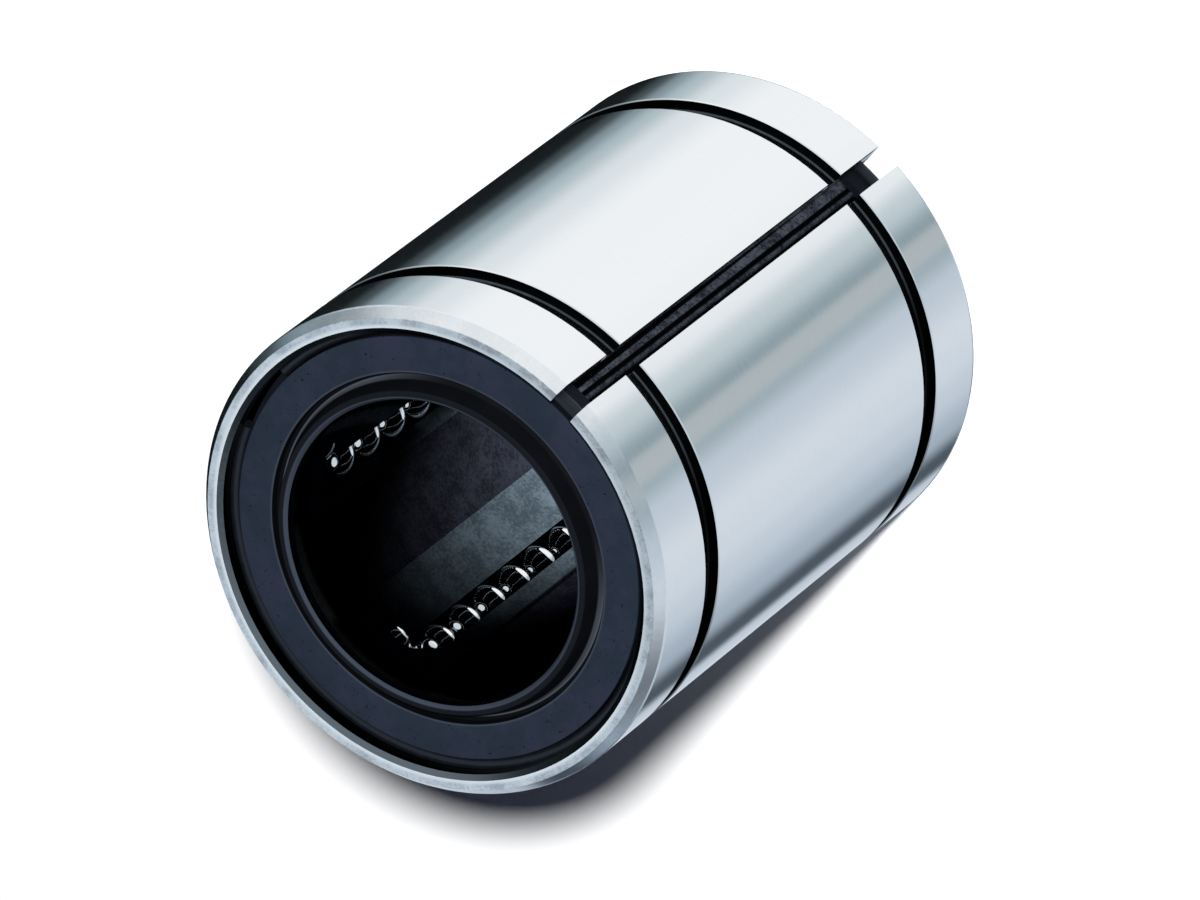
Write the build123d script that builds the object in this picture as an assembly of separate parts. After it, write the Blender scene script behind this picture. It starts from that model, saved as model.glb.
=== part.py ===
from build123d import *
import math
import os

# Linear ball bushing of the slit type, with a rubber seal at each end, in millimetres and degrees.
# It stands on its rear end face: Z runs along the shaft, from the rear end up to the front end,
# and the slit in the sleeve faces +X.

# Overall sizes
LENGTH = 42.0
SHAFT_D = 20.0
SLEEVE_WALL = 1.85

# Balls and the five closed circuits that they run in
BALL_D = 3.175
BALL_GAP = 0.025
CIRCUITS = 5
FIRST_LOAD_ROW_ANGLE = 52.4
RETURN_RISE = 0.865
ISLAND_WIDTH = 0.86
CHANNEL_CLEARANCE = 0.06
RACEWAY_CLEARANCE = 0.01
RETURN_CLEARANCE = 0.11

# Sleeve: raceway lands, grooves for the housing's retaining rings, slit and end chamfers
LAND_WIDTH = 3.7
LAND_RAMP = 2.0
SNAP_GROOVE_INSET = 5.75
SNAP_GROOVE_WIDTH = 1.7
SNAP_GROOVE_DEPTH = 0.75
SNAP_GROOVE_EDGE = 0.08
SLIT_WIDTH = 1.7
CHAMFER_RADIAL = 0.55
CHAMFER_AXIAL = 0.74
CHAMFER_BLEND = 0.3
MOUTH_RADIAL = 0.33
MOUTH_AXIAL = 0.25

# Ball retainer
RETAINER_BORE_GAP = 0.3
RETAINER_FIT = 0.15
RETAINER_END_WALL = 0.6
NOTCH_CLEARANCE = 0.17
NOTCH_SIDE_CLEARANCE = 0.2
RECESS_DEPTH = 0.5
RECESS_BY_RETURN_ROW = 0.45
RECESS_BY_LOAD_ROW = 0.6
SEAM_WIDTH = 0.22
SEAM_DEPTH = 0.15
SEAM_BEFORE_MARK = 0.7
MARK_D = 2.0
MARK_DEPTH = 0.1
MARK_FROM_LOAD_ROW = 5.1
MARK_FROM_REAR = 9.5

# Wire rings that hold the seals, and their grooves in the sleeve
SEAT_RISE = 0.35
WIRE_INSET = 0.15
WIRE_D = 0.9
WIRE_DEPTH = 1.2
WIRE_CLEARANCE = 0.05
WIRE_OPENING = 5.0
WIRE_OPENING_ANGLE = -97.0

# Seals
SEAL_FACE_DEPTH = 1.05
SEAL_DEPTH = 3.4
SEAL_FIT = 0.1
SEAL_FLOAT = 0.05
LIP_TIP_DEPTH = 0.22
LIP_TIP_WALL = 0.2
LIP_CREST = 0.4
LIP_LAND = 0.5
LIP_ENTRY = 0.28
LIP_BACK_RISE = 0.6
LIP_BACK_LENGTH = 0.8
LIP_FLANK_RISE = 0.55
LIP_GROOVE_WIDTH = 0.35
LIP_GROOVE_DEPTH = 0.6
SEAL_HEEL = 1.0

# Radii that follow, from the shaft outwards
shaft_r = SHAFT_D / 2
ball_r = BALL_D / 2
channel_r = ball_r + CHANNEL_CLEARANCE
load_r = shaft_r + ball_r
return_r = load_r + RETURN_RISE
raceway_r = load_r + ball_r + RACEWAY_CLEARANCE
relief_r = return_r + ball_r + RETURN_CLEARANCE
outer_r = relief_r + SLEEVE_WALL
retainer_inner_r = shaft_r + RETAINER_BORE_GAP
retainer_outer_r = relief_r - RETAINER_FIT
notch_r = raceway_r - NOTCH_CLEARANCE
seat_r = relief_r + SEAT_RISE
ring_r = seat_r - WIRE_INSET
wire_groove_r = ring_r + WIRE_D / 2 + WIRE_CLEARANCE

# Heights that follow, from the rear end upwards
seat_depth = SEAL_DEPTH + SEAL_FLOAT
retainer_low = seat_depth + SEAL_FLOAT
retainer_high = LENGTH - retainer_low
wire_top = WIRE_DEPTH + WIRE_D
middle = LENGTH / 2

# The circuit, a flat stadium whose two rows stand a turn's width apart
turn_r = channel_r + ISLAND_WIDTH / 2
row_step = 360 / CIRCUITS
return_sweep = math.degrees(
    math.acos((load_r**2 + return_r**2 - (2 * turn_r) ** 2) / (2 * load_r * return_r))
)
ball_pitch = BALL_D + BALL_GAP
end_space = math.sqrt(ball_pitch**2 - turn_r**2) - turn_r
row_room = retainer_high - retainer_low - 2 * (RETAINER_END_WALL + channel_r + turn_r)
balls_in_row = int((row_room - 2 * end_space) / ball_pitch) + 1
row_length = (balls_in_row - 1) * ball_pitch + 2 * end_space
load_angles = [FIRST_LOAD_ROW_ANGLE + row_step * k for k in range(CIRCUITS)]


def polar(radius, angle, height=0.0):
    """A point at a distance from the axis, in a direction and at a height."""
    turn = math.radians(angle)
    return Vector(radius * math.cos(turn), radius * math.sin(turn), height)


def arc_angle(width, radius):
    """The angle that a width covers on a circle."""
    return math.degrees(width / radius)


def turned(outline, start=0.0, sweep=360.0):
    """An outline of radius and height points, turned about the shaft's axis."""
    face = Plane.XZ * make_face(Polyline(*outline, close=True))
    return Rot(0, 0, start) * revolve(face, Axis.Z, sweep)


def mirrored(half):
    """An outline that is the same at both ends of the bushing."""
    return half + [(radius, LENGTH - height) for radius, height in reversed(half)]


def at_front(piece):
    """A piece of the rear end, turned over to sit at the front end."""
    return Pos(0, 0, LENGTH) * Rot(180, 0, 0) * piece


def circuit_plane(angle):
    """The plane of one circuit: X points to the load row, Y up and Z away from the shaft."""
    load = polar(load_r, angle, middle)
    back = polar(return_r, angle - return_sweep, middle)
    across = (load - back).normalized()
    return Plane(origin=(load + back) / 2, x_dir=across, z_dir=across.cross(Vector(0, 0, 1)))


def sleeve_body():
    """The turned sleeve, with its seal seats, wire grooves and outer grooves."""
    groove_end = SNAP_GROOVE_INSET + SNAP_GROOVE_WIDTH
    groove_r = outer_r - SNAP_GROOVE_DEPTH
    half = [
        (relief_r, seat_depth),
        (seat_r, seat_depth),
        (seat_r, wire_top + WIRE_CLEARANCE),
        (wire_groove_r, wire_top + WIRE_CLEARANCE),
        (wire_groove_r, WIRE_DEPTH - WIRE_CLEARANCE),
        (seat_r, WIRE_DEPTH - WIRE_CLEARANCE),
        (seat_r, MOUTH_AXIAL),
        (seat_r + MOUTH_RADIAL, 0),
        (outer_r - CHAMFER_RADIAL, 0),
        (outer_r, CHAMFER_AXIAL),
        (outer_r, SNAP_GROOVE_INSET - SNAP_GROOVE_EDGE),
        (outer_r - SNAP_GROOVE_EDGE, SNAP_GROOVE_INSET),
        (groove_r, SNAP_GROOVE_INSET),
        (groove_r, groove_end),
        (outer_r - SNAP_GROOVE_EDGE, groove_end),
        (outer_r, groove_end + SNAP_GROOVE_EDGE),
    ]
    body = turned(mirrored(half))
    rims = body.edges().filter_by(GeomType.CIRCLE).filter_by(
        lambda edge: edge.radius > outer_r - CHAMFER_RADIAL / 2
        and not SNAP_GROOVE_INSET / 2 < edge.center().Z < LENGTH - SNAP_GROOVE_INSET / 2
    )
    return fillet(rims, CHAMFER_BLEND)


def raceway_land(angle):
    """One ground land that the loaded balls run on, with a ramp at each end."""
    low = middle - row_length / 2
    root_r = relief_r + SLEEVE_WALL / 4
    half = [(root_r, low - LAND_RAMP), (relief_r, low - LAND_RAMP), (raceway_r, low)]
    sweep = arc_angle(LAND_WIDTH, raceway_r)
    return turned(mirrored(half), angle - sweep / 2, sweep)


def outer_sleeve():
    """The slit steel sleeve with its raceway lands."""
    sleeve = sleeve_body()
    for angle in load_angles:
        sleeve += raceway_land(angle)
    slit = Pos(outer_r, 0, middle) * Box(2 * (outer_r - raceway_r), SLIT_WIDTH, 2 * LENGTH)
    return sleeve - slit


def ball_channel(angle):
    """The closed way that one circuit of balls runs in, open to the outside of the retainer."""
    height = retainer_outer_r - shaft_r
    section = Circle(channel_r) + Pos(0, height / 2) * Rectangle(2 * channel_r, height)
    channel = Part()
    for side in (1, -1):
        channel += extrude(Plane.XZ * (Pos(side * turn_r, 0) * section), row_length / 2, both=True)
        bend = revolve(Plane.XZ * (Pos(turn_r, 0) * section), Axis.Z, 180)
        channel += Pos(0, side * row_length / 2, 0) * Rot(0, 0, 90 - 90 * side) * bend
    return circuit_plane(angle) * channel


def land_notch(angle):
    """The flat-bottomed way in the retainer's outside that clears one raceway land."""
    sweep = arc_angle(LAND_WIDTH + 2 * NOTCH_SIDE_CLEARANCE, raceway_r)
    outline = [
        (notch_r, 0),
        (outer_r, 0),
        (outer_r, LENGTH),
        (notch_r, LENGTH),
    ]
    return turned(outline, angle - sweep / 2, sweep)


def inner_recess(angle):
    """The shallow recess inside the retainer, from a return row to the next load row."""
    start = angle - row_step + arc_angle(channel_r + RECESS_BY_LOAD_ROW, retainer_inner_r)
    end = angle - return_sweep - arc_angle(channel_r - RECESS_BY_RETURN_ROW, retainer_inner_r)
    outline = [
        (shaft_r, 0),
        (retainer_inner_r + RECESS_DEPTH, 0),
        (retainer_inner_r + RECESS_DEPTH, LENGTH),
        (shaft_r, LENGTH),
    ]
    return turned(outline, start, end - start)


def moulding_marks(angle):
    """A fine seam along the retainer and the round mark of an ejector pin beside it."""
    place = angle + arc_angle(MARK_FROM_LOAD_ROW, retainer_outer_r)
    mark = Pos(retainer_outer_r, 0, MARK_FROM_REAR) * Rot(0, 90, 0) * Cylinder(MARK_D / 2, 2 * MARK_DEPTH)
    seam = Pos(retainer_outer_r, -SEAM_BEFORE_MARK, middle) * Box(2 * SEAM_DEPTH, SEAM_WIDTH, 2 * LENGTH)
    return Rot(0, 0, place) * (mark + seam)


def ball_retainer():
    """The moulded retainer that guides the five circuits of balls."""
    retainer = turned(
        [
            (retainer_inner_r, retainer_low),
            (retainer_outer_r, retainer_low),
            (retainer_outer_r, retainer_high),
            (retainer_inner_r, retainer_high),
        ]
    )
    for angle in load_angles:
        retainer -= land_notch(angle)
        retainer -= inner_recess(angle)
        retainer -= moulding_marks(angle)
        retainer -= ball_channel(angle)
    return retainer


def end_seal():
    """The rear seal, a rubber ring whose lip wipes the shaft."""
    body_r = seat_r - SEAL_FIT
    neck_r = ring_r - WIRE_D / 2 - WIRE_CLEARANCE
    entry_depth = LIP_TIP_DEPTH + LIP_ENTRY
    land_end = entry_depth + LIP_LAND
    tip_r = shaft_r + LIP_TIP_WALL
    crest_r = tip_r + LIP_CREST
    root_r = crest_r + LIP_FLANK_RISE
    groove_r = root_r + LIP_GROOVE_WIDTH
    groove_floor = SEAL_FACE_DEPTH + LIP_GROOVE_DEPTH
    outline = [
        (shaft_r, entry_depth),
        (tip_r, LIP_TIP_DEPTH),
        (crest_r, LIP_TIP_DEPTH),
        (root_r, groove_floor),
        (groove_r, groove_floor),
        (groove_r, SEAL_FACE_DEPTH),
        (neck_r, SEAL_FACE_DEPTH),
        (neck_r, wire_top + WIRE_CLEARANCE),
        (body_r, wire_top + WIRE_CLEARANCE),
        (body_r, SEAL_DEPTH),
        (shaft_r + SEAL_HEEL, SEAL_DEPTH),
        (shaft_r + LIP_BACK_RISE, land_end + LIP_BACK_LENGTH),
        (shaft_r, land_end),
    ]
    return turned(outline)


def wire_ring():
    """The rear wire ring, open on one side, that keeps the seal in its seat."""
    gap = arc_angle(WIRE_OPENING, ring_r)
    section = Plane.XZ * (Pos(ring_r, WIRE_DEPTH + WIRE_D / 2) * Circle(WIRE_D / 2))
    return Rot(0, 0, WIRE_OPENING_ANGLE + gap / 2) * revolve(section, Axis.Z, 360 - gap)


def ball(angle, x, y):
    """One ball, placed in the plane of its circuit."""
    centre = circuit_plane(angle).from_local_coords(Vector(x, y, 0))
    return Pos(centre) * Sphere(ball_r)


def ball_row(angle, side):
    """The straight row of balls on the load side (1) or the return side (-1) of a circuit."""
    first = -row_length / 2 + end_space
    return [ball(angle, side * turn_r, first + ball_pitch * k) for k in range(balls_in_row)]


def turn_ball(angle, end):
    """The one ball at the top of the front (1) or the rear (-1) turn of a circuit."""
    return ball(angle, 0, end * (row_length / 2 + turn_r))


pieces = {
    "outer_sleeve": outer_sleeve(),
    "ball_retainer": ball_retainer(),
    "rear_seal": end_seal(),
    "front_seal": at_front(end_seal()),
    "rear_retaining_ring": wire_ring(),
    "front_retaining_ring": at_front(wire_ring()),
}
for number, row_angle in enumerate(load_angles, start=1):
    pieces[f"load_balls_{number}"] = Compound(ball_row(row_angle, 1))
    pieces[f"return_balls_{number}"] = Compound(ball_row(row_angle, -1))
    pieces[f"rear_turn_ball_{number}"] = turn_ball(row_angle, -1)
    pieces[f"front_turn_ball_{number}"] = turn_ball(row_angle, 1)

os.makedirs("parts", exist_ok=True)
for name, piece in pieces.items():
    export_step(piece, f"parts/{name}.step")
print(f"bore {2 * shaft_r:.2f}, outside {2 * outer_r:.2f}, length {LENGTH:.2f}")
print(f"{balls_in_row} balls in a row of {row_length:.2f}, return row {return_sweep:.2f} degrees back")
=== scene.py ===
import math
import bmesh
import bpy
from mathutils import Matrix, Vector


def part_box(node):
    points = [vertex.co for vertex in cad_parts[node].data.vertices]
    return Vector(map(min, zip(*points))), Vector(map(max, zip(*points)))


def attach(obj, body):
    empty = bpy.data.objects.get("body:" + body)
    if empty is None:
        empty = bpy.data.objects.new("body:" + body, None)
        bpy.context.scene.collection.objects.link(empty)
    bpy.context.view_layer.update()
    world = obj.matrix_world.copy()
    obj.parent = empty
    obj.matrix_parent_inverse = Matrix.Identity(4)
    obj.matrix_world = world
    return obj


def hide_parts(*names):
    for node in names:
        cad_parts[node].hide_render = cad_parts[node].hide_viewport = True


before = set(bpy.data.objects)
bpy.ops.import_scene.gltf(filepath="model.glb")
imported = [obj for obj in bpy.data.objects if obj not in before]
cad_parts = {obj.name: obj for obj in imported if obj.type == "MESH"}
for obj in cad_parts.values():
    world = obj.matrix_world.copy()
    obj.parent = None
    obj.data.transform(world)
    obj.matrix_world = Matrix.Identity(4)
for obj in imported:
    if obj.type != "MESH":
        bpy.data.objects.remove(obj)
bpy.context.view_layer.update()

# %% [markdown]
# # Dressing a linear ball bushing
# A linear ball bushing is a hardened steel sleeve that carries rows of small balls round a shaft.
# The fixed frame is loaded above, so every piece below is only given its finish, or a finer skin
# of the same size. Sizes are in metres, because Blender's unit is the metre.

MM = 0.001
low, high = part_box("outer_sleeve")
sleeve_length = high.z - low.z
middle = sleeve_length / 2
print(f"sleeve {sleeve_length / MM:.2f} mm long, {(high.y - low.y) / MM:.2f} mm across")

# %% [markdown]
# Shader trees are easier to read when a node is made in one line. This helper makes a node, sets
# its options and joins or sets its inputs. An input given as another node's output becomes a
# link, and anything else becomes the input's own value.

# %% Helpers for nodes
def add(tree, kind, inputs=(), **options):
    """Make a node, set its options, and join or set its inputs."""
    made = tree.nodes.new(kind)
    for name, value in options.items():
        setattr(made, name, value)
    for socket, value in dict(inputs).items():
        if isinstance(value, bpy.types.NodeSocket):
            tree.links.new(value, made.inputs[socket])
        else:
            made.inputs[socket].default_value = value
    return made


def maths(tree, operation, first, second=0.0, third=0.0):
    """One step of arithmetic between sockets or numbers."""
    made = add(tree, "ShaderNodeMath", {0: first, 1: second, 2: third}, operation=operation)
    return made.outputs[0]


def times(tree, first, second):
    """The product of two sockets or numbers."""
    return maths(tree, "MULTIPLY", first, second)


def fade(tree, value, start, end, low_value=0.0, high_value=1.0):
    """A smooth change from one value to another as a measure goes from start to end."""
    inputs = {0: value, 1: start, 2: end, 3: low_value, 4: high_value}
    made = add(tree, "ShaderNodeMapRange", inputs, interpolation_type="SMOOTHSTEP")
    return made.outputs[0]


# %% [markdown]
# A finish is mostly one thing fading into another: two tones, or two roughnesses. These helpers
# mix them, and a last one starts a material. A value that is the same all over the surface is
# set on the shader's own socket, because an exported model keeps it only there.

# %% Helpers for finishes
def mix_values(tree, amount, first, second):
    """A number between two others."""
    return add(tree, "ShaderNodeMix", {0: amount, 2: first, 3: second}).outputs[0]


def mix_colours(tree, amount, first, second):
    """A colour between two others, each a socket or three numbers."""
    pair = [one if isinstance(one, bpy.types.NodeSocket) else (*one, 1) for one in (first, second)]
    made = add(tree, "ShaderNodeMix", {0: amount, 6: pair[0], 7: pair[1]}, data_type="RGBA")
    return made.outputs[2]


def new_material(name, **constants):
    """A material whose constant values sit on the shader's own sockets."""
    material = bpy.data.materials.new(name)
    material.use_nodes = True
    tree = material.node_tree
    shader = tree.nodes["Principled BSDF"]
    for socket, value in constants.items():
        shader.inputs[socket.replace("_", " ")].default_value = value
    return material, tree, shader


# %% [markdown]
# Everything here is turned or arranged round one axis, so its patterns are easiest to draw in
# round coordinates: the angle about the axis, the distance from it and the height. They come
# from Object coordinates, so a pattern stays fixed to the metal when the view changes.

# %% Round coordinates and noise
def object_place(tree):
    """The shaded point in the piece's own coordinates."""
    return add(tree, "ShaderNodeTexCoord").outputs["Object"]


def round_coordinates(tree):
    """The place, angle, radius and height of a shaded point, in radians and metres."""
    place = object_place(tree)
    split = add(tree, "ShaderNodeSeparateXYZ", {0: place}).outputs
    angle = maths(tree, "ARCTAN2", split[1], split[0])
    flat = add(tree, "ShaderNodeCombineXYZ", {0: split[0], 1: split[1]}).outputs[0]
    radius = add(tree, "ShaderNodeVectorMath", {0: flat}, operation="LENGTH").outputs["Value"]
    return place, angle, radius, split[2]


def end_depth(tree, height):
    """The distance from the nearer end face."""
    from_middle = maths(tree, "ABSOLUTE", maths(tree, "SUBTRACT", height, middle))
    return maths(tree, "SUBTRACT", middle, from_middle)


def speckle(tree, vector, scale, detail=3.0, roughness=0.6):
    """A noise between 0 and 1."""
    inputs = {"Vector": vector, "Scale": scale, "Detail": detail, "Roughness": roughness}
    return add(tree, "ShaderNodeTexNoise", inputs).outputs[0]


def emboss(tree, shader, strength, relief):
    """Give a surface a relief too fine to model."""
    inputs = {"Strength": strength, "Distance": 0.02 * MM, "Height": relief}
    tree.links.new(add(tree, "ShaderNodeBump", inputs).outputs[0], shader.inputs["Normal"])


# %% [markdown]
# The sleeve is hardened steel. Its outside is ground on centres, which leaves hair-fine lines
# round it, and its end faces are coarser and mottled. A picture of ground steel could do this,
# but noise that is drawn round the axis has no seam and stays sharp at any size. The lines are
# read from a circle far smaller than the sleeve, which stretches them along it.

# %% The grain of the steel
GRIND_LINES = 9000.0
GRIND_CIRCLE = 2 * MM
MOTTLE_SCALE = 4000.0
PATCH_SCALE = 520.0


def steel_grain(tree, place, angle, height):
    """The grinding lines, the mottle, and how worn a place looks."""
    circle = add(tree, "ShaderNodeCombineXYZ", {
        0: times(tree, maths(tree, "COSINE", angle), GRIND_CIRCLE),
        1: times(tree, maths(tree, "SINE", angle), GRIND_CIRCLE),
        2: height,
    }).outputs[0]
    lines = speckle(tree, circle, GRIND_LINES, 4.0)
    mottle = speckle(tree, place, MOTTLE_SCALE, 5.0, 0.7)
    patches = speckle(tree, place, PATCH_SCALE)
    worn = maths(tree, "MULTIPLY_ADD", patches, 0.5, times(tree, mottle, 0.5))
    return lines, mottle, fade(tree, worn, 0.38, 0.60)


# %% [markdown]
# The end face has a painted highlight as a bright rim at the seal's mouth, and painted shade
# makes it darker towards the slit, while the chamfer gets a painted highlight there. Each surface
# has a darker and a lighter tone that the noise chooses between, and the angle about the axis
# fades the lit look into the shaded one.

# %% The tones of the ground steel
GROUND = {
    "side": ((0.87, 0.89, 0.90), (0.94, 0.95, 0.96)),
    "end": ((0.47, 0.51, 0.565), (0.81, 0.85, 0.90)),
    "shaded end": ((0.20, 0.225, 0.24), (0.50, 0.55, 0.575)),
    "chamfer": ((0.66, 0.70, 0.73), (0.77, 0.81, 0.84)),
}
RIM_HIGHLIGHT = (0.97, 0.98, 1.0)
CHAMFER_HIGHLIGHT = (0.95, 0.96, 0.98)
MOUTH_EDGE = 14.83 * MM
SHADED_SIDE_TURN = math.radians(20)
END_SHADE_SHARE = 0.55
CHAMFER_HIGHLIGHT_SHARE = 0.5
RIM_HIGHLIGHT_IN_SHADE = 0.45


def ground_colour(tree, angle, radius, lines, worn, on_end, near_end):
    """The colour of the ground side, the chamfers and the end faces."""
    # Painted shade: by the angle about the axis, the end face is darker on the side towards the slit.
    shaded_side = fade(tree, maths(tree, "COSINE", maths(tree, "ADD", angle, SHADED_SIDE_TURN)), 0.2, 0.95)
    end = mix_colours(tree, worn, *GROUND["end"])
    shaded_end = mix_colours(tree, worn, *GROUND["shaded end"])
    end = mix_colours(tree, times(tree, shaded_side, END_SHADE_SHARE), end, shaded_end)
    # Painted highlight: a bright rim along the mouth's edge, weaker on the shaded side.
    rim = fade(tree, radius, MOUTH_EDGE + 0.05 * MM, MOUTH_EDGE + 0.35 * MM, 1.0, 0.0)
    rim = times(tree, rim, fade(tree, shaded_side, 0.0, 1.0, 1.0, RIM_HIGHLIGHT_IN_SHADE))
    end = mix_colours(tree, rim, end, RIM_HIGHLIGHT)
    chamfer = mix_colours(tree, worn, *GROUND["chamfer"])
    # Painted highlight: on the shaded side the chamfer is lightened.
    chamfer = mix_colours(tree, times(tree, shaded_side, CHAMFER_HIGHLIGHT_SHARE), chamfer, CHAMFER_HIGHLIGHT)
    side = mix_colours(tree, near_end, mix_colours(tree, lines, *GROUND["side"]), chamfer)
    return mix_colours(tree, on_end, side, end)


# %% [markdown]
# The bore, the slit and the ring grooves are never ground, so they keep the black scale of the
# hardening. A groove's floor is turned to a dull grey, and painted shade darkens it on one side.
# The mouth round the seal has a painted reflection that makes it lighter than the rest, most on
# the side away from the slit. The mouth and the groove's floor are told apart by their distance
# from the axis and from the end.

# %% The tones of the scale
SCALE = {
    "scale": ((0.008, 0.008, 0.010), (0.013, 0.014, 0.016)),
    "groove floor": ((0.20, 0.21, 0.22), (0.36, 0.37, 0.39)),
    "mouth": ((0.035, 0.042, 0.05), (0.20, 0.22, 0.25)),
}
MOUTH_MOTTLE = (0.16, 0.18, 0.20)
GROOVE_SHADE = (0.02, 0.021, 0.024)
GROOVE_SHADE_SHARE = 0.85
GROOVE_SHADE_START = (math.radians(-170), math.radians(-110))
GROOVE_SHADE_END = (math.radians(-42), math.radians(-14))
MOUTH_LIT = math.radians(188)
MOUTH_DEPTH = (0.3 * MM, 0.36 * MM)


def scale_colour(tree, angle, radius, depth, lines, mottle, in_floor):
    """The colour of the bore, the slit, the grooves and the mouth."""
    # Painted reflection: the mouth is lightened most on the side away from the slit.
    lit = fade(tree, maths(tree, "COSINE", maths(tree, "SUBTRACT", angle, MOUTH_LIT)), 0.45, 0.95)
    mouth = mix_colours(tree, lit, *SCALE["mouth"])
    mouth = mix_colours(tree, mottle, mouth, MOUTH_MOTTLE)
    # Painted shade: over a range of angles the groove's floor is darkened.
    groove_shaded = times(tree, fade(tree, angle, *GROOVE_SHADE_END, 1.0, 0.0), fade(tree, angle, *GROOVE_SHADE_START))
    floor_tone = mix_colours(tree, lines, *SCALE["groove floor"])
    floor_tone = mix_colours(tree, times(tree, groove_shaded, GROOVE_SHADE_SHARE), floor_tone, GROOVE_SHADE)
    outside_bore = fade(tree, radius, MOUTH_EDGE, MOUTH_EDGE + 0.1 * MM)
    scale = mix_colours(tree, mottle, *SCALE["scale"])
    groove = mix_colours(tree, times(tree, in_floor, outside_bore), scale, floor_tone)
    return mix_colours(tree, fade(tree, depth, *MOUTH_DEPTH), mouth, groove)


# %% [markdown]
# Now the steel itself. A mask is 1 where a finish belongs and 0 elsewhere, with a short fade
# between, so one material can hold them all: the end face, the chamfer, the groove's floor and
# everything that keeps its scale. Ground steel is smooth, and an end face scatters more.

# %% Ground steel for the sleeve
GROOVE_FLOOR = 15.3 * MM
SCALE_EDGE = 15.93 * MM
CHAMFER_HEIGHT = 0.8 * MM
CHAMFER_EXTRA_ROUGHNESS = 0.06


def ground_steel():
    material, tree, shader = new_material("ground_steel", Metallic=1.0)
    place, angle, radius, height = round_coordinates(tree)
    depth = end_depth(tree, height)
    lines, mottle, worn = steel_grain(tree, place, angle, height)
    on_end = fade(tree, depth, 0.02 * MM, 0.05 * MM, 1.0, 0.0)
    near_end = fade(tree, depth, 0.95 * CHAMFER_HEIGHT, CHAMFER_HEIGHT, 1.0, 0.0)
    in_floor = fade(tree, radius, GROOVE_FLOOR, GROOVE_FLOOR + 0.05 * MM, 1.0, 0.0)
    in_groove = times(tree, fade(tree, radius, SCALE_EDGE - 0.01 * MM, SCALE_EDGE, 1.0, 0.0),
                      fade(tree, depth, CHAMFER_HEIGHT, 1.1 * CHAMFER_HEIGHT))
    in_bore = fade(tree, radius, MOUTH_EDGE - 0.01 * MM, MOUTH_EDGE, 1.0, 0.0)
    scaled = maths(tree, "MAXIMUM", in_groove, in_bore)
    colour = mix_colours(tree, scaled,
                         ground_colour(tree, angle, radius, lines, worn, on_end, near_end),
                         scale_colour(tree, angle, radius, depth, lines, mottle, in_floor))
    tree.links.new(colour, shader.inputs["Base Color"])
    side_roughness = fade(tree, lines, 0.2, 0.8, 0.07, 0.13)
    end_roughness = fade(tree, mottle, 0.3, 0.7, 0.22, 0.42)
    bright_roughness = mix_values(tree, on_end, side_roughness, end_roughness)
    bright_roughness = maths(tree, "MULTIPLY_ADD", near_end, CHAMFER_EXTRA_ROUGHNESS, bright_roughness)
    scale_roughness = fade(tree, in_floor, 0.0, 1.0, 0.35, 0.16)
    roughness = mix_values(tree, scaled, bright_roughness, scale_roughness)
    tree.links.new(roughness, shader.inputs["Roughness"])
    emboss(tree, shader, fade(tree, on_end, 0.0, 1.0, 0.02, 0.45), mix_values(tree, on_end, lines, mottle))
    return material


steel = ground_steel()
print("made", steel.name)

# %% [markdown]
# Bearing balls are lapped until they are mirrors. A perfect mirror looks unreal, so a faint haze
# from a film of oil changes the roughness a little from place to place.

# %% Polished steel for the balls
HAZE_SCALE = 900.0
BALL_TONES = ((0.90, 0.91, 0.92), (0.96, 0.96, 0.97))


def polished_steel():
    material, tree, shader = new_material("polished_ball_steel", Metallic=1.0)
    haze = speckle(tree, object_place(tree), HAZE_SCALE, 2.0)
    tree.links.new(fade(tree, haze, 0.3, 0.7, 0.03, 0.08), shader.inputs["Roughness"])
    tree.links.new(mix_colours(tree, haze, *BALL_TONES), shader.inputs["Base Color"])
    return material


ball_steel = polished_steel()
print("made", ball_steel.name)

# %% [markdown]
# The retainer is moulded black resin. The lands that face the shaft have a fine eroded texture,
# and they look greyer than the recesses between them, which are painted darker as shade. The
# outside shows in the slit as a textured strip that widens towards the rear, between bands of
# painted shade, with a painted highlight beside it along the line where the mould's halves met.
# One noise serves for all the grain, and the distance from the axis tells which face it is.

# %% Moulded resin for the retainer
RESIN = {
    "shaded_recess": ((0.0055, 0.006, 0.009), (0.015, 0.017, 0.024)),
    "land": ((0.026, 0.036, 0.045), (0.060, 0.080, 0.098)),
    "outside": ((0.010, 0.011, 0.016), (0.057, 0.066, 0.084)),
}
SLIT_SHADE = (0.001, 0.001, 0.0015)
RESIN_GRAIN = 4200.0
RESIN_CLOUD = 650.0
LAND_RADIUS = 10.35 * MM
RECESS_RADIUS = 10.5 * MM
OUTSIDE_RADIUS = 13.5 * MM
# The lit strip in the slit, the bands of painted shade beside it, and the seam's painted highlight.
STRIP_START = (0.20 * MM, 0.30 * MM)
STRIP_END = (0.87 * MM, 0.97 * MM)
STRIP_TAPER = 0.01
SEAM_PLACE = -0.21 * MM
SEAM_HIGHLIGHT_EDGE = (0.05 * MM, 0.19 * MM)
SEAM_HIGHLIGHT_SHARE = 0.75


def slit_light_and_shade(tree, place, height):
    """How much of the slit's retainer is left lit: 1 on the strip and the seam's painted highlight, else
    painted shade.
    """
    across = add(tree, "ShaderNodeSeparateXYZ", {0: place}).outputs[1]
    tapered = maths(tree, "MULTIPLY_ADD", height, STRIP_TAPER, across)
    strip = times(tree, fade(tree, across, *STRIP_START), fade(tree, tapered, *STRIP_END, 1.0, 0.0))
    from_seam = maths(tree, "ABSOLUTE", maths(tree, "SUBTRACT", across, SEAM_PLACE))
    return maths(tree, "MAXIMUM", strip, fade(tree, from_seam, *SEAM_HIGHLIGHT_EDGE, SEAM_HIGHLIGHT_SHARE, 0.0))


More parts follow.
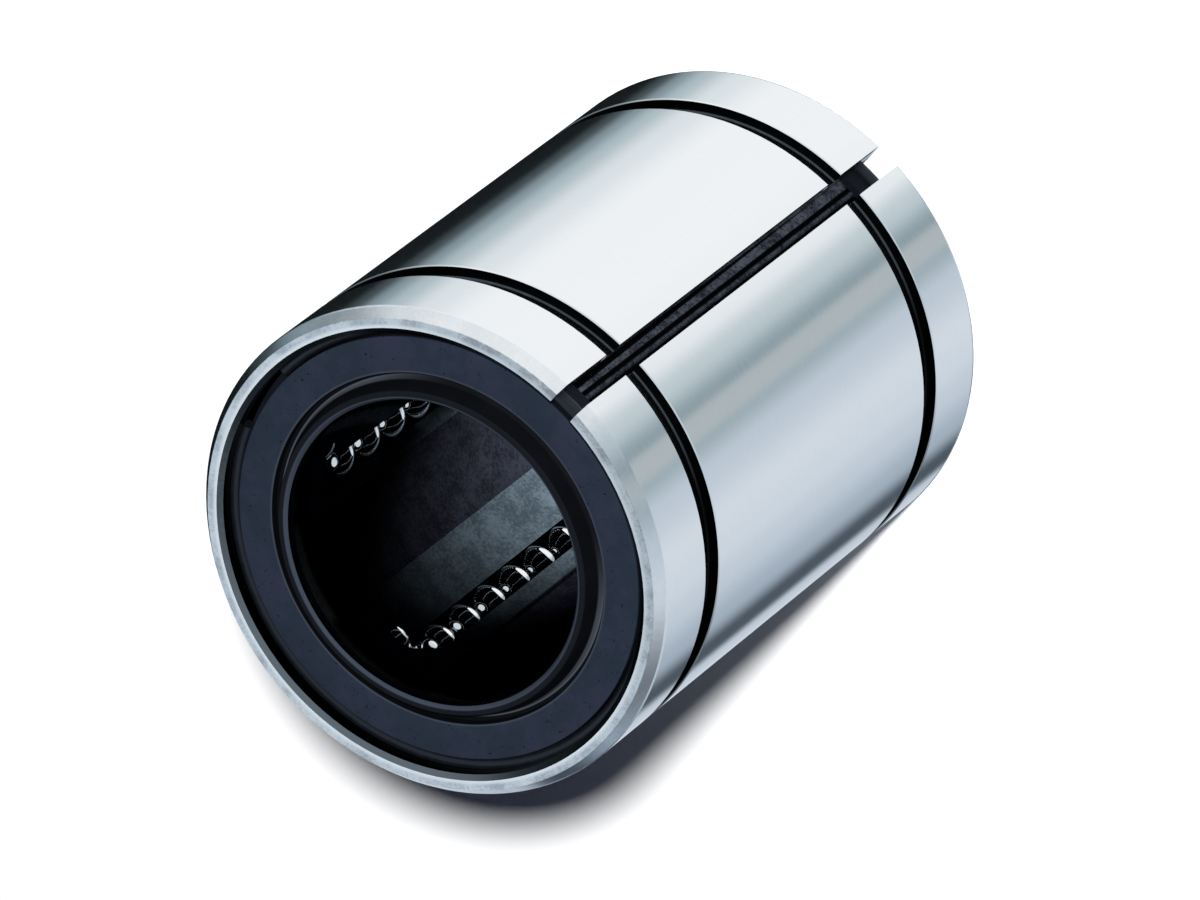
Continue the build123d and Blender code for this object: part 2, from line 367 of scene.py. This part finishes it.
def moulded_resin():
    material, tree, shader = new_material("moulded_resin", Specular_IOR_Level=0.0)
    place, _, radius, height = round_coordinates(tree)
    grain = speckle(tree, place, RESIN_GRAIN, 4.0, 0.75)
    cloud = speckle(tree, place, RESIN_CLOUD)
    texture = maths(tree, "MULTIPLY_ADD", cloud, 0.4, times(tree, grain, 0.6))
    texture = fade(tree, texture, 0.38, 0.62)
    on_land = fade(tree, radius, LAND_RADIUS, RECESS_RADIUS, 1.0, 0.0)
    outside = fade(tree, radius, OUTSIDE_RADIUS, OUTSIDE_RADIUS + 0.1 * MM)
    # The recesses' darker tone is painted shade.
    inner, land, shell = (mix_colours(tree, texture, *RESIN[part]) for part in ("shaded_recess", "land", "outside"))
    # Painted shade: outside the lit strip and the seam's painted highlight, the retainer's outside is near
    # black.
    shell = mix_colours(tree, slit_light_and_shade(tree, place, height), SLIT_SHADE, shell)
    colour = mix_colours(tree, outside, mix_colours(tree, on_land, inner, land), shell)
    tree.links.new(colour, shader.inputs["Base Color"])
    tree.links.new(fade(tree, grain, 0.3, 0.7, 0.42, 0.6), shader.inputs["Roughness"])
    emboss(tree, shader, 0.3, grain)
    return material


resin = moulded_resin()
print("made", resin.name)

# %% [markdown]
# The seals are moulded rubber. Their flat face is a dark slate colour with faint clouds and tiny
# pits, while the flank of the lip, the groove round it, the heel behind the face and most of the
# lip's crest are painted near black as shade. The depth below the end face and the distance from
# the axis tell the two apart.

# %% Where the rubber is painted black as shade
LIP_CREST_DEPTH = 0.3 * MM
LIP_SHADE_START = 10.6 * MM
LIP_TIP_END = 10.27 * MM
FACE_START = 11.5 * MM
FACE_DEPTH = 1.2 * MM
HEEL_SHADE_SHARE = 0.85
CREST_SHADE_SHARE = 0.9


def painted_rubber_shade(tree, radius, depth):
    """The painted shade: the lip's flank, the groove round it, the heel behind the face and the crest."""
    # Painted shade on the lip's flank and the groove round it.
    below_crest = fade(tree, depth, LIP_CREST_DEPTH, LIP_CREST_DEPTH + 0.03 * MM)
    inside_face = fade(tree, radius, FACE_START + 0.02 * MM, FACE_START + 0.06 * MM, 1.0, 0.0)
    past_tip = fade(tree, radius, LIP_SHADE_START - 0.05 * MM, LIP_SHADE_START)
    flank = times(tree, times(tree, below_crest, inside_face), past_tip)
    # Painted shade on the heel behind the face, inside the sleeve.
    heel = fade(tree, depth, FACE_DEPTH, FACE_DEPTH + 0.05 * MM, 0.0, HEEL_SHADE_SHARE)
    # Painted shade over most of the crest, leaving a thin lit ring at the lip's tip.
    crest = fade(tree, radius, LIP_TIP_END - 0.06 * MM, LIP_TIP_END + 0.06 * MM)
    crest = times(tree, crest, fade(tree, radius, FACE_START, FACE_START + 0.02 * MM, CREST_SHADE_SHARE, 0.0))
    return maths(tree, "MAXIMUM", maths(tree, "MAXIMUM", flank, heel), crest)


# %% [markdown]
# Two fine lines finish the seal. The face's inner edge has a painted highlight that makes it a
# little paler, and a thin painted highlight runs in the groove round the lip, except near the
# slit. Both are too thin to be worth a shape, so the distance from the axis draws them.

# %% Moulded rubber for the seals
RUBBER = {
    "slate": ((0.0145, 0.021, 0.033), (0.020, 0.025, 0.042)),
    "black": ((0.0015, 0.0017, 0.002), (0.004, 0.0045, 0.006)),
}
PIT_COLOUR = (0.004, 0.006, 0.010)
PIT_SCALE = 2800.0
CLOUD_SCALE = 380.0
FACE_EDGE_HIGHLIGHT = (0.10, 0.12, 0.15)
FACE_EDGE_HIGHLIGHT_SHARE = 0.22
LIP_GROOVE_HIGHLIGHT = (0.055, 0.062, 0.078)
LIP_GROOVE_HIGHLIGHT_START = (10.98 * MM, 11.06 * MM)
LIP_GROOVE_HIGHLIGHT_END = (11.2 * MM, 11.28 * MM)
LIP_GROOVE_HIGHLIGHT_DEPTH = (1.0 * MM, 1.15 * MM)


def moulded_rubber():
    material, tree, shader = new_material("seal_rubber", Specular_IOR_Level=0.04)
    place, angle, radius, height = round_coordinates(tree)
    depth = end_depth(tree, height)
    cloud = speckle(tree, place, CLOUD_SCALE, 4.0, 0.65)
    pits = speckle(tree, place, PIT_SCALE, 3.0, 0.75)
    slate = mix_colours(tree, fade(tree, cloud, 0.35, 0.65), *RUBBER["slate"])
    slate = mix_colours(tree, fade(tree, pits, 0.30, 0.38, 1.0, 0.0), slate, PIT_COLOUR)
    # Painted highlight along the face's inner edge.
    face_edge_lit = fade(tree, radius, FACE_START + 0.06 * MM, FACE_START + 0.22 * MM, 1.0, 0.0)
    slate = mix_colours(tree, times(tree, face_edge_lit, FACE_EDGE_HIGHLIGHT_SHARE), slate, FACE_EDGE_HIGHLIGHT)
    # The near-black tone is the painted shade.
    black = mix_colours(tree, cloud, *RUBBER["black"])
    # Painted highlight: a thin pale line in the groove round the lip, faded out near the slit.
    lip_groove_lit = times(tree, fade(tree, radius, *LIP_GROOVE_HIGHLIGHT_START), fade(tree, radius, *LIP_GROOVE_HIGHLIGHT_END, 1.0, 0.0))
    lip_groove_lit = times(tree, lip_groove_lit, fade(tree, depth, *LIP_GROOVE_HIGHLIGHT_DEPTH))
    away_from_slit = fade(tree, maths(tree, "COSINE", angle), 0.35, 0.85, 1.0, 0.05)
    colour = mix_colours(tree, painted_rubber_shade(tree, radius, depth), slate, black)
    colour = mix_colours(tree, times(tree, lip_groove_lit, away_from_slit), colour, LIP_GROOVE_HIGHLIGHT)
    tree.links.new(colour, shader.inputs["Base Color"])
    tree.links.new(fade(tree, pits, 0.3, 0.7, 0.45, 0.65), shader.inputs["Roughness"])
    emboss(tree, shader, 0.25, pits)
    return material


rubber = moulded_rubber()
print("made", rubber.name)

# %% [markdown]
# The two wire rings are spring steel with a black oxide finish, which is smooth along the wire
# and slightly uneven in tone.

# %% Black spring wire
OXIDE_SCALE = 1500.0
OXIDE_TONES = ((0.006, 0.008, 0.012), (0.018, 0.022, 0.031))


def black_wire():
    material, tree, shader = new_material("black_spring_wire", Metallic=0.6)
    tone = speckle(tree, object_place(tree), OXIDE_SCALE)
    tree.links.new(mix_colours(tree, tone, *OXIDE_TONES), shader.inputs["Base Color"])
    tree.links.new(fade(tree, tone, 0.3, 0.7, 0.28, 0.42), shader.inputs["Roughness"])
    return material


wire = black_wire()
print("made", wire.name)

# %% [markdown]
# The frame's own meshes keep their shapes and only take their finishes. The name of each node
# says what it is, so a short list of words finds the finish.

# %% Finishes for the frame's nodes
FINISHES = {"retaining_ring": wire, "seal": rubber, "sleeve": steel, "retainer": resin, "ball": ball_steel}


def finish_for(name):
    """The finish of the first word in the list that a node's name holds."""
    return next(finish for word, finish in FINISHES.items() if word in name)


for name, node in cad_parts.items():
    node.data.materials.clear()
    node.data.materials.append(finish_for(name))
print(len(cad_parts), "nodes finished")

# %% [markdown]
# Geometry Nodes make what repeats. A tree is a recipe with named inputs, and a modifier runs it.
# These helpers make a tree with its inputs, close it, and turn its result into a plain mesh.

# %% Helpers for Geometry Nodes
def recipe(name, **inputs):
    """A new geometry tree with named inputs, and its input and output nodes."""
    tree = bpy.data.node_groups.new(name, "GeometryNodeTree")
    for title, kind in inputs.items():
        tree.interface.new_socket(title.replace("_", " "), in_out="INPUT", socket_type="NodeSocket" + kind)
    tree.interface.new_socket("Mesh", in_out="OUTPUT", socket_type="NodeSocketGeometry")
    return tree, tree.nodes.new("NodeGroupInput"), tree.nodes.new("NodeGroupOutput")


def close_recipe(tree, geometry, material, output):
    """Smooth the result, make it real and give it its finish."""
    smooth = add(tree, "GeometryNodeSetShadeSmooth", {"Geometry": geometry})
    real = add(tree, "GeometryNodeRealizeInstances", {"Geometry": smooth.outputs[0]})
    coated = add(tree, "GeometryNodeSetMaterial", {"Geometry": real.outputs[0], "Material": material})
    tree.links.new(coated.outputs[0], output.inputs[0])


def bake(name, tree, **values):
    """Run a tree with these values and keep its result as one plain mesh."""
    carrier = bpy.data.objects.new(name, bpy.data.meshes.new(name + "_seed"))
    bpy.context.collection.objects.link(carrier)
    modifier = carrier.modifiers.new("recipe", "NODES")
    modifier.node_group = tree
    sockets = {item.name: item.identifier for item in tree.interface.items_tree if item.in_out == "INPUT"}
    for title, value in values.items():
        modifier[sockets[title.replace("_", " ")]] = value
    bpy.context.view_layer.update()
    solid = carrier.evaluated_get(bpy.context.evaluated_depsgraph_get())
    mesh = bpy.data.meshes.new_from_object(solid)
    carrier.modifiers.remove(modifier)
    carrier.data = mesh
    mesh.name = name
    print(f"{name}: {len(mesh.polygons)} faces")
    return carrier


# %% [markdown]
# Each loaded row is nine balls in line. The recipe divides a line into points, sets a ball on
# each point and makes them real. The frame's balls are coarser, and a mirror shows every flat,
# so finer ones of the same size stand for them.

# %% The recipe for a row of balls
BALL_SEGMENTS = 48


def ball_row_recipe():
    tree, start, end = recipe("ball_row", First_Ball="Vector", Last_Ball="Vector", Balls="Int",
                              Ball_Diameter="Float", Finish="Material")
    inputs = start.outputs
    line = add(tree, "GeometryNodeMeshLine", {
        "Count": inputs["Balls"], "Start Location": inputs["First Ball"], "Offset": inputs["Last Ball"],
    }, mode="END_POINTS")
    ball = add(tree, "GeometryNodeMeshUVSphere", {
        "Segments": BALL_SEGMENTS, "Rings": BALL_SEGMENTS // 2,
        "Radius": times(tree, inputs["Ball Diameter"], 0.5),
    })
    row = add(tree, "GeometryNodeInstanceOnPoints", {"Points": line.outputs[0], "Instance": ball.outputs[0]})
    close_recipe(tree, row.outputs[0], inputs["Finish"], end)
    return tree


ball_row = ball_row_recipe()
print("recipe", ball_row.name)

# %% [markdown]
# The frame's own rows say where the balls go. The box of a row is one ball wide, so it gives the
# ball's size, the two end balls and, with the spacing, how many there are.

# %% The loaded rows
BALL_PITCH = 3.2 * MM
circuits = sum(name.startswith("load_balls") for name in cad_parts)
for number in range(1, circuits + 1):
    low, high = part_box(f"load_balls_{number}")
    ball_diameter = high.x - low.x
    centre = (low + high) / 2
    reach = Vector((0, 0, (high.z - low.z - ball_diameter) / 2))
    piece = bake(f"loaded_row_{number}", ball_row, First_Ball=centre - reach, Last_Ball=centre + reach,
                 Balls=round(2 * reach.z / BALL_PITCH) + 1, Ball_Diameter=ball_diameter, Finish=ball_steel)
    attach(piece, "root")
    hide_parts(f"load_balls_{number}")

# %% [markdown]
# A seal is one outline turned round the axis, which is a rule, so a recipe makes it. The corners
# stand in a list, as distances from the axis and from the end face. The recipe rounds them as
# the mould does and sweeps the outline round a circle. A lathe tool would do as well, but the
# recipe makes both ends from the same list.

# %% The recipe for a seal
SEAL_CORNERS = [
    (10.0, 0.5), (10.2, 0.22), (10.6, 0.22), (11.15, 1.65), (11.5, 1.65), (11.5, 1.05), (13.85, 1.05),
    (13.85, 2.15), (14.4, 2.15), (14.4, 3.4), (11.0, 3.4), (10.6, 1.8), (10.0, 1.0),
]
POINT_CIRCLE = 1e-6


def seal_recipe():
    tree, start, end = recipe("seal", End_Height="Float", Facing="Float", Corner_Rounding="Float",
                              Facets="Int", Finish="Material")
    inputs = start.outputs
    corners = add(tree, "GeometryNodeIndexSwitch", data_type="VECTOR")
    while len(corners.index_switch_items) < len(SEAL_CORNERS):
        corners.index_switch_items.new()
    tree.links.new(add(tree, "GeometryNodeInputIndex").outputs[0], corners.inputs[0])
    for index, (radius, depth) in enumerate(SEAL_CORNERS):
        corners.inputs[1 + index].default_value = (radius * MM, depth * MM, 0)
    parts = add(tree, "ShaderNodeSeparateXYZ", {0: corners.outputs[0]}).outputs
    sunk = maths(tree, "SUBTRACT", times(tree, parts[1], inputs["Facing"]), inputs["End Height"])
    place = add(tree, "ShaderNodeCombineXYZ", {0: parts[0], 1: sunk})
    line = add(tree, "GeometryNodeMeshLine", {"Count": len(SEAL_CORNERS)})
    placed = add(tree, "GeometryNodeSetPosition", {"Geometry": line.outputs[0], "Position": place.outputs[0]})
    outline = add(tree, "GeometryNodeMeshToCurve", {0: placed.outputs[0]})
    closed = add(tree, "GeometryNodeSetSplineCyclic", {"Geometry": outline.outputs[0], "Cyclic": True})
    rounded = add(tree, "GeometryNodeFilletCurve", {
        "Curve": closed.outputs[0], "Count": 4, "Radius": inputs["Corner Rounding"], "Limit Radius": True,
    }, mode="POLY")
    circle = add(tree, "GeometryNodeCurvePrimitiveCircle", {
        "Resolution": inputs["Facets"], "Radius": POINT_CIRCLE})
    upright = add(tree, "GeometryNodeSetCurveNormal", {0: circle.outputs[0]}, mode="Z_UP")
    swept = add(tree, "GeometryNodeCurveToMesh", {
        "Curve": upright.outputs[0], "Profile Curve": rounded.outputs[0]})
    turned_over = maths(tree, "LESS_THAN", inputs["Facing"], 0.0)
    flipped = add(tree, "GeometryNodeFlipFaces", {"Mesh": swept.outputs[0], "Selection": turned_over})
    close_recipe(tree, flipped.outputs[0], inputs["Finish"], end)
    return tree


seal = seal_recipe()
print("recipe", seal.name)

# %% [markdown]
# Both seals come from the recipe. The rear one faces down, so its outline is turned over and its
# faces with it, or they would point inwards.

# %% The seals
for name, height, facing in (("front_seal", sleeve_length, 1.0), ("rear_seal", 0.0, -1.0)):
    piece = bake("rounded_" + name, seal, End_Height=height, Facing=facing, Corner_Rounding=0.07 * MM,
                 Facets=192, Finish=rubber)
    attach(piece, "root")
    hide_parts(name)

# %% [markdown]
# Each wire ring is a round wire bent to an arc that springs out into its groove. The recipe sweeps
# a small circle along an arc. The opening is where fitting pliers take hold of the ring.

# %% The recipe for a wire ring
def ring_recipe():
    tree, start, end = recipe("wire_ring", Ring_Radius="Float", Wire_Diameter="Float", Height="Float",
                              Start_Angle="Float", Sweep="Float", Facets="Int", Finish="Material")
    inputs = start.outputs
    arc = add(tree, "GeometryNodeCurveArc", {
        "Resolution": inputs["Facets"], "Radius": inputs["Ring Radius"],
        "Start Angle": inputs["Start Angle"], "Sweep Angle": inputs["Sweep"],
    }, mode="RADIUS")
    upright = add(tree, "GeometryNodeSetCurveNormal", {0: arc.outputs[0]}, mode="Z_UP")
    wire_radius = times(tree, inputs["Wire Diameter"], 0.5)
    section = add(tree, "GeometryNodeCurvePrimitiveCircle", {"Resolution": 24, "Radius": wire_radius})
    swept = add(tree, "GeometryNodeCurveToMesh", {
        "Curve": upright.outputs[0], "Profile Curve": section.outputs[0], "Fill Caps": True})
    lift = add(tree, "ShaderNodeCombineXYZ", {2: inputs["Height"]})
    lifted = add(tree, "GeometryNodeTransform", {
        "Geometry": swept.outputs[0], "Translation": lift.outputs[0]})
    close_recipe(tree, lifted.outputs[0], inputs["Finish"], end)
    return tree


ring = ring_recipe()
print("recipe", ring.name)

# %% [markdown]
# The box of the frame's ring gives the wire's thickness and the ring's size. The rear ring is the
# front one seen in a mirror, so its opening lies at the opposite angle.

# %% The wire rings
RING_OPENING = 5.0 * MM
RING_OPENING_ANGLE = math.radians(97)

for name, opening_angle in (("front_retaining_ring", RING_OPENING_ANGLE),
                            ("rear_retaining_ring", -RING_OPENING_ANGLE)):
    low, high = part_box(name)
    wire_diameter = high.z - low.z
    ring_radius = max(high.x, -low.x, high.y, -low.y) - wire_diameter / 2
    gap = RING_OPENING / ring_radius
    piece = bake("sprung_" + name, ring, Ring_Radius=ring_radius, Wire_Diameter=wire_diameter,
                 Height=(low.z + high.z) / 2, Start_Angle=opening_angle + gap / 2,
                 Sweep=math.tau - gap, Facets=160, Finish=wire)
    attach(piece, "root")
    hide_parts(name)

# %% [markdown]
# The photograph was taken from above and to one side, with a long lens, so the bushing shows
# almost no perspective. The camera stands where its three axes and its distance say, and its
# lens is given for a sensor 36 mm wide.

# %% The camera
CAMERA_PLACE = Vector((0.48608, -0.06616, 0.66784))
CAMERA_RIGHT = Vector((0.54140, -0.69229, -0.47708))
CAMERA_UP = Vector((0.58946, 0.71717, -0.37176))
CAMERA_BACK = CAMERA_RIGHT.cross(CAMERA_UP).normalized()

camera_data = bpy.data.cameras.new("camera")
camera_data.sensor_width = 36.0
camera_data.lens = 393.8
camera_data.clip_start = 0.01
camera = bpy.data.objects.new("camera", camera_data)
turn = Matrix((CAMERA_RIGHT, CAMERA_UP, CAMERA_BACK)).transposed().to_4x4()
camera.matrix_world = Matrix.Translation(CAMERA_PLACE) @ turn
bpy.context.collection.objects.link(camera)
bpy.context.scene.camera = camera
bpy.context.scene.view_settings.view_transform = "Standard"
print("camera", tuple(round(value, 3) for value in CAMERA_PLACE))

# %% [markdown]
# The floor is plain, matt and pale. The steel doesn't mirror it, because a bright floor right
# beside a polished cylinder would wash out the soft bands that a studio tent gives.

# %% The floor
FLOOR_HALF = 1.5
FLOOR_TONES = ((0.955, 0.955, 0.957), (0.965, 0.965, 0.967))
FLOOR_GRAIN = 30.0


def pale_floor():
    material, tree, shader = new_material("pale_floor", Roughness=1.0, Specular_IOR_Level=0.0)
    tone = speckle(tree, object_place(tree), FLOOR_GRAIN)
    tree.links.new(mix_colours(tree, tone, *FLOOR_TONES), shader.inputs["Base Color"])
    return material


corners = [(x * FLOOR_HALF, y * FLOOR_HALF, 0) for x, y in ((-1, -1), (1, -1), (1, 1), (-1, 1))]
floor_mesh = bpy.data.meshes.new("floor")
floor_mesh.from_pydata(corners, [], [(0, 1, 2, 3)])
floor_mesh.materials.append(pale_floor())
floor = bpy.data.objects.new("floor", floor_mesh)
bpy.context.collection.objects.link(floor)
floor.visible_glossy = False
print("floor", 2 * FLOOR_HALF, "m wide")

# %% [markdown]
# Behind everything the world is plain white, for the camera and for whatever mirrors it. Matt
# surfaces get only a trace of cold light from it, which is what fills the shadow.

# %% The white world
WHITE = (1, 1, 1)
AMBIENT = (0.005, 0.006, 0.018)

world = bpy.data.worlds.new("studio")
bpy.context.scene.world = world
world.use_nodes = True
sky_tree = world.node_tree
rays = add(sky_tree, "ShaderNodeLightPath").outputs
sharp = maths(sky_tree, "MAXIMUM", rays["Is Glossy Ray"], rays["Is Transmission Ray"])
plain = maths(sky_tree, "MAXIMUM", rays["Is Camera Ray"], sharp)
shown = mix_colours(sky_tree, plain, AMBIENT, WHITE)
sky_tree.links.new(shown, sky_tree.nodes["Background"].inputs["Color"])
print("world", world.name)

# %% [markdown]
# Polished steel has no colour of its own: it shows what stands round it. A photographer stands
# such a part in a tent with dark and pale cloths. Here the tent is a dome round everything that
# only mirroring surfaces see. Its strips are given by the direction round the object, in degrees,
# with a brightness. A dark strip also takes the tint of its side, which is given up to a
# direction, so the grey cloths are slightly cold, as in daylight.

# %% The strips of the tent
TENT = [
    (-180, 0.70), (-160, 0.62), (-150, 0.09), (-143, 0.09), (-127, 0.46), (-104, 0.64), (-92, 0.715),
    (-76, 0.745), (-54, 0.62), (-42, 0.43), (-38.5, 0.50), (-31.5, 0.50), (-27.5, 0.34), (-14, 0.62),
    (-1, 0.905), (30, 0.96), (66, 0.95), (88, 0.80), (104, 0.52), (114, 0.305), (123.5, 0.07),
    (134, 0.010), (160, 0.010), (170, 0.020), (175, 0.66),
]
TENT_TINTS = [
    (-50, (0.76, 0.99, 1.25)), (-40, (0.78, 1.04, 1.17)), (-30, (0.85, 1.0, 1.06)), (180, (0.78, 1.04, 1.17)),
]
TINT_GAIN = 1.3


def strip_colour(degrees, brightness):
    """A strip's colour: the darker it is, the more it takes the tint of its side."""
    tint = next(tint for limit, tint in TENT_TINTS if degrees < limit)
    share = min(1.0, TINT_GAIN * (1 - brightness))
    return [brightness * (1 + share * (part - 1)) for part in tint] + [1]


print(len(TENT), "strips in the tent")

# %% [markdown]
# The strips meet at the top in a grey cloth with one paler panel, which the end face mirrors. From
# the part's height up the far side is darker, so that the balls and edges that look that way
# don't mirror a bright wall. The dome glows by itself and lights nothing but mirrors.

# %% The cloth of the tent
TENT_ZENITH = (0.60, 0.67, 0.72)
TENT_PANEL = (0.72, 0.80, 0.86)
PANEL_DIRECTION = (-0.596, 0.084, 0.799)
PANEL_EDGE = (0.80, 0.90)
TENT_SHOULDER = (0.45, 0.65)
FAR_SIDE = (-0.3, 0.35)
FAR_SIDE_HEIGHT = (-0.15, 0.05)
FAR_SIDE_SHARE = 0.75
FAR_SIDE_COLOUR = (0.02, 0.025, 0.03)


def tent_strips(tree, direction):
    """The colour of the strip that a direction meets."""
    bearing = maths(tree, "ARCTAN2", direction[1], direction[0])
    ramp = add(tree, "ShaderNodeValToRGB", {0: maths(tree, "MULTIPLY_ADD", bearing, 0.5 / math.pi, 0.5)})
    strips = ramp.color_ramp
    strips.interpolation = "EASE"
    strips.elements.remove(strips.elements[1])
    for index, (degrees, brightness) in enumerate(TENT):
        place_on_ramp = (degrees + 180) / 360
        element = strips.elements[0] if index == 0 else strips.elements.new(place_on_ramp)
        element.position = place_on_ramp
        element.color = strip_colour(degrees, brightness)
    return ramp.outputs[0]


def tent_cloth():
    material = bpy.data.materials.new("tent_cloth")
    material.use_nodes = True
    tree = material.node_tree
    tree.nodes.clear()
    towards = add(tree, "ShaderNodeVectorMath", {0: object_place(tree)}, operation="NORMALIZE").outputs[0]
    direction = add(tree, "ShaderNodeSeparateXYZ", {0: towards}).outputs
    far_side = fade(tree, direction[0], *FAR_SIDE, 1.0, 0.0)
    raised = times(tree, far_side, fade(tree, direction[2], *FAR_SIDE_HEIGHT, 0.0, FAR_SIDE_SHARE))
    strip = mix_colours(tree, raised, tent_strips(tree, direction), FAR_SIDE_COLOUR)
    along_panel = add(tree, "ShaderNodeVectorMath", {0: towards, 1: PANEL_DIRECTION}, operation="DOT_PRODUCT")
    panel = fade(tree, along_panel.outputs["Value"], *PANEL_EDGE)
    top = mix_colours(tree, panel, TENT_ZENITH, TENT_PANEL)
    colour = mix_colours(tree, fade(tree, direction[2], *TENT_SHOULDER), strip, top)
    glow = add(tree, "ShaderNodeEmission", {"Color": colour})
    add(tree, "ShaderNodeOutputMaterial", {"Surface": glow.outputs[0]})
    material.cycles.emission_sampling = "NONE"
    return material


tent_material = tent_cloth()
print("made", tent_material.name)

# %% [markdown]
# The dome itself is a plain ball of triangles. Blender can hide a thing from each kind of ray,
# and the tent is hidden from all of them but the mirrored ones.

# %% The tent that the steel mirrors
TENT_RADIUS = 1.2
TENT_FINENESS = 5


def only_for(thing, *kinds):
    """Hide a thing from every kind of ray but these."""
    for kind in ("camera", "diffuse", "glossy", "transmission", "volume_scatter", "shadow"):
        setattr(thing, "visible_" + kind, kind in kinds)


dome_mesh = bpy.data.meshes.new("tent")
dome_shape = bmesh.new()
bmesh.ops.create_icosphere(dome_shape, subdivisions=TENT_FINENESS, radius=TENT_RADIUS)
dome_shape.to_mesh(dome_mesh)
dome_shape.free()
dome_mesh.materials.append(tent_material)
dome = bpy.data.objects.new("tent", dome_mesh)
bpy.context.collection.objects.link(dome)
only_for(dome, "glossy")
print("tent", 2 * TENT_RADIUS, "m wide")

# %% [markdown]
# One soft key light stands close beside the camera, a little towards the picture's upper left,
# so the shadow falls on the floor just past the lower right edge of the bushing.

# %% The key light
KEY_LEFT = 0.029
KEY_UP = 0.038
KEY_WIDTH = 0.054
KEY_POWER = 10.6


def facing(place, target):
    """A light's matrix at a place, turned towards a target."""
    return Matrix.Translation(place) @ (place - target).to_track_quat("Z", "Y").to_matrix().to_4x4()


key_data = bpy.data.lights.new("key", "AREA")
key_data.shape = "DISK"
key_data.size = KEY_WIDTH
key_data.energy = KEY_POWER
key = bpy.data.objects.new("key", key_data)
key_place = CAMERA_PLACE - KEY_LEFT * CAMERA_RIGHT + KEY_UP * CAMERA_UP
key.matrix_world = facing(key_place, Vector((0, 0, middle)))
key.visible_glossy = False
bpy.context.collection.objects.link(key)
print("key light", tuple(round(value, 3) for value in key_place))

# %% [markdown]
# A photographer keeps light out of a hole with a black flag. Here it lies in the front opening,
# and the key light finds all of it closed, so the bore stays dark. Mirrors see the flag's rim
# alone: a ball shows the tent through the hole in the middle, which gives it a small glint.

# %% The black flag in the opening
FLAG_RADIUS = 9.98 * MM
FLAG_HEIGHT = 41.72 * MM
FLAG_HOLE = 5.0 * MM
FLAG_FACETS = 96
FLAG_CENTRE = 0.01 * MM

flag_cloth = new_material("black_cloth", Base_Color=(0, 0, 0, 1), Specular_IOR_Level=0.0)[0]


def cloth_ring(name, inner, outer, *kinds):
    """A flat ring of black cloth in the opening, seen by some kinds of ray only."""
    turns = [math.tau * step / FLAG_FACETS for step in range(FLAG_FACETS)]
    places = [(size * math.cos(turn), size * math.sin(turn), FLAG_HEIGHT)
              for size in (inner, outer) for turn in turns]
    steps = [(step, (step + 1) % FLAG_FACETS) for step in range(FLAG_FACETS)]
    faces = [(first, second, FLAG_FACETS + second, FLAG_FACETS + first) for first, second in steps]
    mesh = bpy.data.meshes.new(name)
    mesh.from_pydata(places, [], faces)
    mesh.materials.append(flag_cloth)
    cloth = bpy.data.objects.new(name, mesh)
    bpy.context.collection.objects.link(cloth)
    only_for(cloth, *kinds)
    print(name, "hides the bore from", " and ".join(kinds), "rays")


cloth_ring("flag_rim", FLAG_HOLE, FLAG_RADIUS, "shadow", "glossy")
cloth_ring("flag_middle", FLAG_CENTRE, FLAG_HOLE, "shadow")

# %% [markdown]
# A small lamp in the rear opening throws a little light up the far side of the bore, as a
# mirror under the part would. It lights the retainer's land beside a loaded row from behind.

# %% The lamp under the bore
LAMP_PLACE = Vector((8, -1.5, 0.8)) * MM
LAMP_AIM = Vector((-10.3, 0, 14.5)) * MM
LAMP_POWER = 0.084
LAMP_RADIUS = 0.8 * MM
LAMP_CONE = math.radians(51)

lamp_data = bpy.data.lights.new("bore_lamp", "SPOT")
lamp_data.energy = LAMP_POWER
lamp_data.spot_size = LAMP_CONE
lamp_data.spot_blend = 1.0
lamp_data.shadow_soft_size = LAMP_RADIUS
lamp = bpy.data.objects.new("bore_lamp", lamp_data)
lamp.matrix_world = facing(LAMP_PLACE, LAMP_AIM)
lamp.visible_glossy = False
bpy.context.collection.objects.link(lamp)
print("lamp", lamp_data.energy, "W under the bore")
